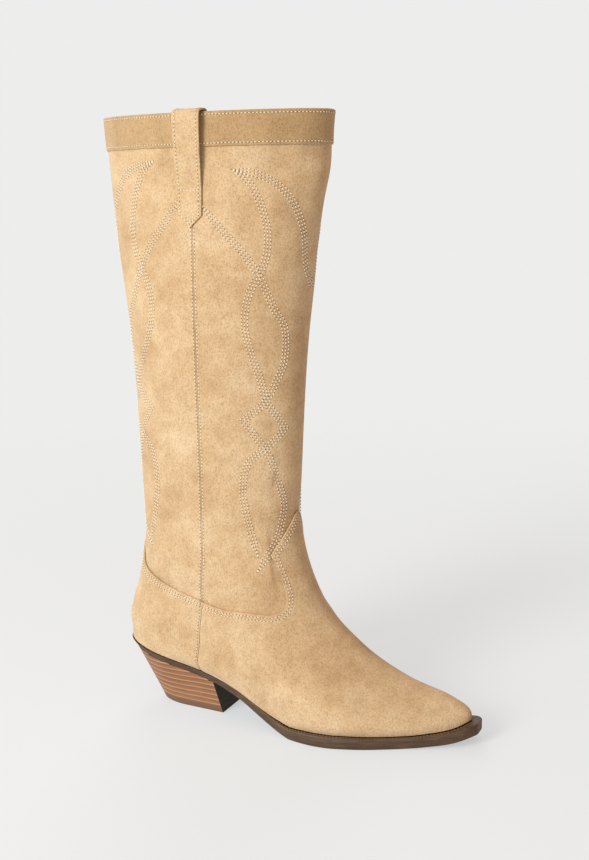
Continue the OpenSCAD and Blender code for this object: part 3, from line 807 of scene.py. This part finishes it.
def build_welt():
    """The strip round the forefoot, with a crease against the upper and a groove for its stitches."""
    first = angle_of(.34)
    a = np.linspace(first, 360 - first, 241)
    s = station(a)
    edge, low, top = ledge(s), sole_top(s), sole_line(s) - GAP
    end = np.minimum(1, np.minimum(a - first, 360 - first - a) / 8 + .35)
    top = mix(low + .25, top, end)
    depth = np.minimum(1, (top - low) / 2)
    crease, groove = 1.1 * depth, .35 * depth
    rows = [(-2.2, low), (-2.2, top - crease), (1.1, top - crease), (WELT_SEAM - .6, top - groove),
            (WELT_SEAM + .4, top - groove), (WELT_SEAM + 1.0, top)]
    rows = [(np.minimum(out, edge - 1.0), z) for out, z in rows]
    rows += [(edge - .55, top), (edge - .1, top - .4), (edge, mix(low, top, .5)), (edge - .05, low + .12),
             (edge - .3, low)]
    rings = np.stack([ring_at(outline(a, out), z) for out, z in rows], 1)
    rings = np.insert(rings, 6, (rings[:, 5] + rings[:, 6]) / 2, axis=1)
    fit(loft("welt_strip", rings[:, ::-1], WELT_LEATHER, sharp=50), "foot", ["welt"])


def build_sock_liner():
    a = np.arange(0, 360, 2)
    base = sole_line(station(a)) + LASTING_T + INSOLE_T + GAP
    rows = [(-5.6, 1.2), (-4.8, 1.0), (-4.6, .5), (-4.7, 0)]
    rims = [ring_at(outline(a, out), base + rise) for out, rise in rows]
    fit(slab("sock_liner_leather", rims, LINING), "foot", ["sock_liner"])


# The heel: its length under the seat, the lean of its front, how far its foot is set in at the back, half
# the width of its foot, the share of its length that is rounded, and how much narrower it is at the back
HEEL_LENGTH, HEEL_LEAN, UNDERSLUNG = 81.0, 3.5, 24.5
HEEL_HALF, HEEL_ROUND, HEEL_TAPER = 18.0, .42, .24
LIFTS, TOP_LIFT_T = 9, 6.0
LIFT_T = (TREAD_Z[0] - TOP_LIFT_T) / LIFTS
BREAST_ANGLE = angle_of(HEEL_LENGTH / SOLE_LENGTH)


def heel_side(a, z):
    """Points on the heel's side in the columns at angles a, and at heights z."""
    s = station(a)
    u = s / station(BREAST_ANGLE)
    seat = outline(a, ledge(s) - seat_trim(s))
    plan = np.where(u < HEEL_ROUND, np.sqrt(np.maximum(0, 1 - (1 - np.minimum(u / HEEL_ROUND, 1)) ** 2)), 1)
    plan = plan * (1 - HEEL_TAPER * (1 - u))
    foot_x = SOLE_X + mix(UNDERSLUNG, HEEL_LENGTH + HEEL_LEAN, u)
    foot_y = -np.sign(a) * HEEL_HALF * plan
    k = z / tread(s)
    x, y = mix(foot_x, seat[..., 0], k), mix(foot_y, seat[..., 1], k)
    return np.stack([x, y, np.broadcast_to(z, k.shape)], -1)


def heel_slab(name, low, high, material, soft, node):
    """A lift: its walls lean with the heel, its edges are eased, and the seat's slope cuts its top."""
    fine = np.linspace(3, BREAST_ANGLE, 400)
    roof = tread(station(fine)) - GAP
    last = fine[np.nonzero(roof > low + .35)[0][-1]]
    a = np.linspace(2.5, last, 46)
    roof = np.minimum(high, tread(station(a)) - GAP)
    floor = np.full(a.shape, float(low))
    heights = [floor, floor + soft, mix(low + soft, roof - soft, .5), roof - soft, roof]
    outer = [heel_side(a, z) for z in heights]
    inner = [heel_side(-a, z) for z in heights]
    for wall in (outer, inner):
        for line in (0, 4):
            middle = wall[line] * [1, 0, 1]
            middle[:, 0] = np.maximum(middle[:, 0], SOLE_X + UNDERSLUNG)
            toward = middle - wall[line]
            toward[:, 0] += 4
            wall[line] = wall[line] + unit(toward) * soft
    rings = np.stack(outer + inner[::-1], 1)
    piece = loft(name, rings[:, ::-1], [material, BREAST_STAIN_AND_SHADE], sharp=60)
    # The breast's faces take the dark stain with painted shade
    front = (SOLE_X + HEEL_LENGTH - 30) * MM
    for face in piece.data.polygons:
        face.material_index = int(abs(face.normal.x) > .6 and face.center.x > front)
    fit(piece, "foot", [node])


def build_heel():
    heel_slab("top_lift_tread", 0, TOP_LIFT_T - .1, RUBBER, .35, "top_lift")
    for i in range(LIFTS):
        low, node = TOP_LIFT_T + i * LIFT_T, f"heel_lift_{i + 1}"
        heel_slab(node + "_leather", low, low + LIFT_T - .05, STACK, .16, node)


# ---------------------------------------------------------------- stitching
# Pitch and length of a stitch, and half the thread's width
PITCH, STITCH, THREAD_R = 2.6, 1.7, .34


def capsule(rings=7, round_=6):
    """One stitch lying along x, 1 long and 1 wide each way, arched, with its ends drawn down."""
    rows = []
    for x in np.linspace(-1, 1, rings):
        r = math.sqrt(max(0, 1 - abs(x) ** 3.2)) * .98 + .02
        turn = np.linspace(0, 2 * math.pi, round_, endpoint=False)
        rows += [(x, math.cos(t) * r, math.sin(t) * r - 1.1 * abs(x) ** 4) for t in turn]
    faces = [(i + k, i + (k + 1) % round_, i + round_ + (k + 1) % round_, i + round_ + k)
             for i in range(0, (rings - 1) * round_, round_) for k in range(round_)]
    last = (rings - 1) * round_
    faces += [tuple(range(round_ - 1, -1, -1)), tuple(last + k for k in range(round_))]
    return np.array(rows), faces


STITCH_FORM = capsule()
# The flat disc of painted shade laid over each needle hole
HOLE_RIM = np.linspace(0, 2 * math.pi, 8, endpoint=False)
HOLE_FORM = np.array([(0, 0, 0)] + [(math.cos(t), math.sin(t), -.3) for t in HOLE_RIM])
HOLE_FACES = [(0, 1 + k, 1 + (k + 1) % 8) for k in range(8)]


def spots(run, s, table):
    """The rows of a table of points or normals, read at lengths s along its run."""
    return np.stack([np.interp(s, run, table[:, k]) for k in range(3)], -1)


def sew(name, rows, body, thread, pitch=PITCH, size=1.0):
    """Stitches with painted shade at the needle holes between them, along rows of (points, normals) in
    millimetres.
    """
    form, form_faces = STITCH_FORM
    verts, faces, kinds, total = [], [], [], 0
    for points, normals in rows:
        run = lengths(points)
        count = max(1, int(round(run[-1] / pitch)))
        step = run[-1] / count
        half = STITCH / 2 * size * step / pitch
        for mid, shape, long, wide, high, kind in (
                ((np.arange(count) + .5) * step, form, half, THREAD_R * size, .30 * size, 0),
                (np.arange(count + 1) * step, HOLE_FORM, .40 * size, .38 * size, .05, 1)):
            p, n = spots(run, mid, points), unit(spots(run, mid, normals))
            t = unit(spots(run, mid + .3, points) - spots(run, mid - .3, points))
            b = np.cross(n, t)
            jitter = 1 + RNG.normal(0, .04, (len(mid), 1, 1))
            x, y, z = shape.T[:, None, :, None]
            block = (p[:, None] + x * long * t[:, None] * jitter + y * wide * b[:, None]
                     + (z * high + .12) * n[:, None])
            shape_faces = form_faces if kind == 0 else HOLE_FACES
            for i in range(len(mid)):
                start = total + i * len(shape)
                faces += [tuple(start + v for v in f) for f in shape_faces]
            kinds += [kind] * (len(shape_faces) * len(mid))
            verts.append(block.reshape(-1, 3))
            total += block.shape[0] * block.shape[1]
    # The thread, then the painted shade of the needle holes
    piece = new_mesh(name, np.concatenate(verts), faces, [thread, HOLE_SHADE])
    piece.data.polygons.foreach_set("material_index", kinds)
    return fit(piece, body)


def on_leather(path, out):
    """A path's points and normals at a distance out from the boot's form."""
    level, angle = path[:, 1], path[:, 0]
    return skin(level, angle, out), normal(level, angle)


def mirror(path):
    return np.stack([360 - path[:, 0], path[:, 1]], -1)


# The shaft's ornament, on the outer half of the front panel: (angle, level). Each list ends in a cusp.
ORNAMENT = [
    [[(113, .955), (120, .948), (129, .927), (134.5, .900), (134, .878), (130, .862), (124, .835),
      (123, .808), (126.5, .782), (136, .743), (139, .728), (148, .712), (156.5, .698)],
     [(156.5, .698), (148, .686), (138.7, .675), (130, .666), (125, .657), (122, .627), (124.6, .595),
      (128.8, .553), (129.8, .536)]],
    [[(97.5, .927), (110.5, .902), (121.7, .882), (130, .862), (143, .823), (152, .802), (153, .768),
      (147, .748), (139, .728), (131, .717), (122.5, .707)],
     [(122.5, .707), (131, .690), (138.7, .675), (150.5, .638), (158, .605), (152.4, .573), (137.7, .538),
      (126, .511)]],
    [[(113, .955), (127.6, .950), (143.3, .937), (156, .917), (164, .895), (168, .872), (180, .848)]],
]
ROW_GAP = 2.1
# The back panel's ornament mirrors the front's about the side seam, but for a small turn and rise
BACK_AT, BACK_TURN, BACK_RISE = [.50, .60, .715, .80, 1], [-6, -8, -9.5, -1, -2], .008


def ornament_rows():
    """Three rows of stitches side by side along each line, with mitred corners at the cusps."""
    rows = []
    for line in ORNAMENT:
        parts = [smooth_path(part, 260) for part in line]
        for k in (-1, 0, 1):
            moved = []
            for i, part in enumerate(parts):
                run = run_of(part)
                offset = np.full(len(part), k * ROW_GAP)
                if i == 0:
                    offset = offset * ease(run / 14 + .12)
                if i == len(parts) - 1 and len(parts) > 1:
                    offset = offset * ease((run[-1] - run) / 14 + .12)
                if i > 0:
                    part, offset = longer(part, True, 9), np.concatenate([offset[:1].repeat(11), offset])
                if i < len(parts) - 1:
                    part, offset = longer(part, False, 9), np.concatenate([offset, offset[-1:].repeat(11)])
                moved.append(aside(part, offset))
            if len(moved) == 2:
                moved = mitre(*moved)
            rows += list(moved)
    return rows


def back_of(path):
    """The same line on the back panel: it mirrors about the side seam."""
    turn = curve(BACK_AT, BACK_TURN, path[:, 1])
    return np.stack([2 * side_angle(path[:, 1]) - path[:, 0] + turn, path[:, 1] + BACK_RISE], -1)


def build_ornament():
    rows = [even(r, .6) for r in ornament_rows()]
    for name, turn in (("front_outer", lambda r: r), ("front_inner", mirror),
                       ("back_outer", back_of), ("back_inner", lambda r: mirror(back_of(r)))):
        lines = [on_leather(turn(r), 0) for r in rows]
        sew("ornament_stitches_" + name, lines, "ankle", THREAD)


def build_seams():
    """Rows along the vamp's and counter's edge, the side seams and the vamp's joint."""
    for name, edge in (("vamp", VAMP_EDGE), ("counter", COUNTER_EDGE)):
        path = smooth_path([(a, l) for a, l, _ in edge], 500)
        lines = []
        for distance in (1.7, 4.1):
            row = clear_of(aside(path, -distance), path, distance)
            row = even(row, .6)
            lines += [on_leather(row, FOOT_OUT), on_leather(mirror(row), FOOT_OUT)]
        sew(name + "_edge_stitches", lines, "ankle", THREAD)
    level = np.linspace(foot_edge(side_angle(0)) + .004, collar_level(BAND_HEIGHT + .6), 400)
    lines = []
    for away in (-1.35, 1.35):
        path = np.stack([side_angle(level) + away / side_scale(level), level], -1)
        for row in (path, mirror(path)):
            out = shaft_out(row[:, 1], row[:, 0]) + side_groove(row[:, 1], row[:, 0])
            lines.append(on_leather(row, out))
    sew("side_seam_stitches", lines, "ankle", THREAD)
    level = np.linspace(.006, SEAM_RISE - .018, 200)
    path = np.stack([seam_angle(level), level], -1)
    row = aside(path, 1.7)
    lines = [on_leather(row, FOOT_OUT), on_leather(mirror(row), FOOT_OUT)]
    sew("vamp_seam_stitches", lines, "ankle", THREAD)


def build_band_stitches():
    angle = np.linspace(0, 360, 721)
    lines = []
    for below in (1.6, BAND_HEIGHT - 1.8):
        path = np.stack([angle, np.full(angle.shape, collar_level(below))], -1)
        lines.append(on_leather(path, BAND_OUT))
        points, normals = on_leather(path, BAND_IN)
        lines.append((points, -normals))
    sew("collar_band_stitches", lines, "shaft", THREAD)


def build_strap_stitches(side, where):
    rim = 1 - 1.9 / (STRAP_WIDTH / 2)
    _, outer, face = strap_faces(side, [-1, -rim, 0, rim, 1], 400)
    first, last = 46, len(outer) - 46
    lines = [(outer[first:last, k], face[first:last, k]) for k in (1, 3)]
    run = lengths(outer[:, 2])
    across = np.linspace(0, 1, 30)[:, None]
    i, low, tip = np.searchsorted(run, [STRAP_LENGTH - STRAP_LOOP, STRAP_POINT - .6, 2.2])
    lines.append((mix(outer[i, 1], outer[i, 3], across), mix(face[i, 1], face[i, 3], across)))
    for k in (1, 3):
        lines.append((mix(outer[low, k], outer[tip, 2], across), mix(face[low, k], face[tip, 2], across)))
        lines.append((outer[low:first, k], face[low:first, k]))
    sew("pull_strap_" + where + "_stitches", lines, "shaft", THREAD)


def build_welt_stitches():
    first = angle_of(.36) + 2
    a = np.linspace(first, 360 - first, 900)
    s = station(a)
    points = ring_at(outline(a, np.minimum(WELT_SEAM, ledge(s) - 1.3)), sole_line(s) - .45)
    up = np.broadcast_to([0, 0, 1.0], points.shape)
    sew("welt_stitches", [(points, up)], "foot", WELT_THREAD, pitch=2.5, size=.9)


# ---------------------------------------------------------------- stage
def dress_cad_nodes():
    """The frame nodes that stay get their own finishes."""
    finish = {"heel_screw": STEEL, "heel_nails": STEEL, "top_lift_nails": BRASS, "insole_board": BOARD,
              "insole_filler": CORK, "shank": STEEL, "toe_puff": FIBRE, "heel_stiffener": FIBRE}
    for name, material in finish.items():
        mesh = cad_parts[name].data
        mesh.materials.clear()
        mesh.materials.append(material)


# The plain wall, and the fill light: soft white on the heel's side, dim and warm on the toe's side
WALL_WHITE = (.845, .847, .84)
SOFT_SIDE, DIM_SIDE = (.72, .72, .715), (.36, .165, .025)
TOE_SIDE = (.904, .427, 0)


def studio_floor():
    """Pale floor under the boot with a painted glow of its own, which lights the boot from below and softens
    its shadow; further out the glow fades into the plain wall.
    """
    made, tree, shader, where = new_material("studio_floor")
    far = tree.nodes.new("ShaderNodeVectorMath")
    far.operation = "LENGTH"
    tree.links.new(where, far.inputs[0])
    share = maths(tree, "MULTIPLY_ADD", far.outputs["Value"], 1.1, -.4)
    tree.links.new(ramp(tree, share, [(0, (.34, .34, .34)), (1, (0, 0, 0))]), shader.inputs["Base Color"])
    # Painted light: near the boot the floor glows, standing in for bounce light; far out the glow is the
    # plain wall's white
    glow = ramp(tree, share, [(0, (.485, .505, .515)), (1, WALL_WHITE)])
    tree.links.new(glow, shader.inputs["Emission Color"])
    shader.inputs["Emission Strength"].default_value = 1
    shader.inputs["Roughness"].default_value = 1
    shader.inputs["Specular IOR Level"].default_value = 0
    return made


def build_floor():
    size = 6000
    verts = [(x * size, y * size, 0) for x, y in ((-1, -1), (1, -1), (1, 1), (-1, 1))]
    floor = new_mesh("floor", verts, [(0, 1, 2, 3)], FLOOR, smooth=False)


def area_light(name, place, aim, size, power, colour=(1, 1, 1)):
    data = bpy.data.lights.new(name, "AREA")
    data.shape, data.size, data.energy, data.color = "DISK", size, power, colour
    lamp = bpy.data.objects.new(name, data)
    bpy.context.scene.collection.objects.link(lamp)
    lamp.location = place
    lamp.rotation_euler = (Vector(aim) - Vector(place)).to_track_quat("-Z", "Y").to_euler()


def build_lights():
    area_light("key", (-.75, -2.1, 1.15), (0, 0, .22), 1.1, 50, (1, .995, .985))
    area_light("back", (-.9, 2.0, 1.6), (0, 0, .3), 1.4, 14)


def build_world():
    """The fill light fades to the toe's side. Behind the boot only the plain wall is seen."""
    world = bpy.data.worlds.new("studio")
    bpy.context.scene.world = world
    world.use_nodes = True
    tree = world.node_tree
    across = tree.nodes.new("ShaderNodeVectorMath")
    across.operation = "DOT_PRODUCT"
    tree.links.new(tree.nodes.new("ShaderNodeTexCoord").outputs["Generated"], across.inputs[0])
    across.inputs[1].default_value = TOE_SIDE
    share = maths(tree, "MULTIPLY_ADD", across.outputs["Value"], .5, .5)
    tone = ramp(tree, share, [(0, SOFT_SIDE), (.45, SOFT_SIDE), (.75, DIM_SIDE), (1, DIM_SIDE)])
    seen = tree.nodes.new("ShaderNodeLightPath").outputs["Is Camera Ray"]
    tree.links.new(blend_colour(tree, seen, tone, WALL_WHITE), tree.nodes["Background"].inputs[0])
    tree.nodes["Background"].inputs[1].default_value = 1
    bpy.context.scene.view_settings.view_transform = "Standard"


def build_camera():
    turn, rise, roll = math.radians(25.3), math.radians(11.2), math.radians(-1.31)
    distance, target = .915, Vector((5.2, 0, 221.7)) * MM
    frame_height, focal = 24.0, 35.1
    back = Vector((math.sin(turn) * math.cos(rise), -math.cos(turn) * math.cos(rise), math.sin(rise)))
    right = Vector((math.cos(turn), math.sin(turn), 0))
    up = back.cross(right)
    right, up = right * math.cos(roll) + up * math.sin(roll), up * math.cos(roll) - right * math.sin(roll)
    data = bpy.data.cameras.new("camera")
    data.sensor_fit, data.sensor_height, data.lens = "VERTICAL", frame_height, focal
    camera = bpy.data.objects.new("camera", data)
    bpy.context.scene.collection.objects.link(camera)
    aim = Matrix((right, up, back)).transposed().to_4x4()
    camera.matrix_world = Matrix.Translation(target + back * distance) @ aim
    bpy.context.scene.camera = camera


STACK = stacked_leather("heel_leather", TOP_LIFT_T * MM, LIFT_T * MM)
FLOOR = studio_floor()
build_foot()
build_shaft()
build_band()
build_outsole()
build_welt()
build_sock_liner()
build_heel()
build_ornament()
build_seams()
build_band_stitches()
for side, where in ((1, "outer"), (-1, "inner")):
    build_strap(side, where)
    build_strap_stitches(side, where)
build_welt_stitches()
dress_cad_nodes()
build_floor()
build_lights()
build_world()
build_camera()
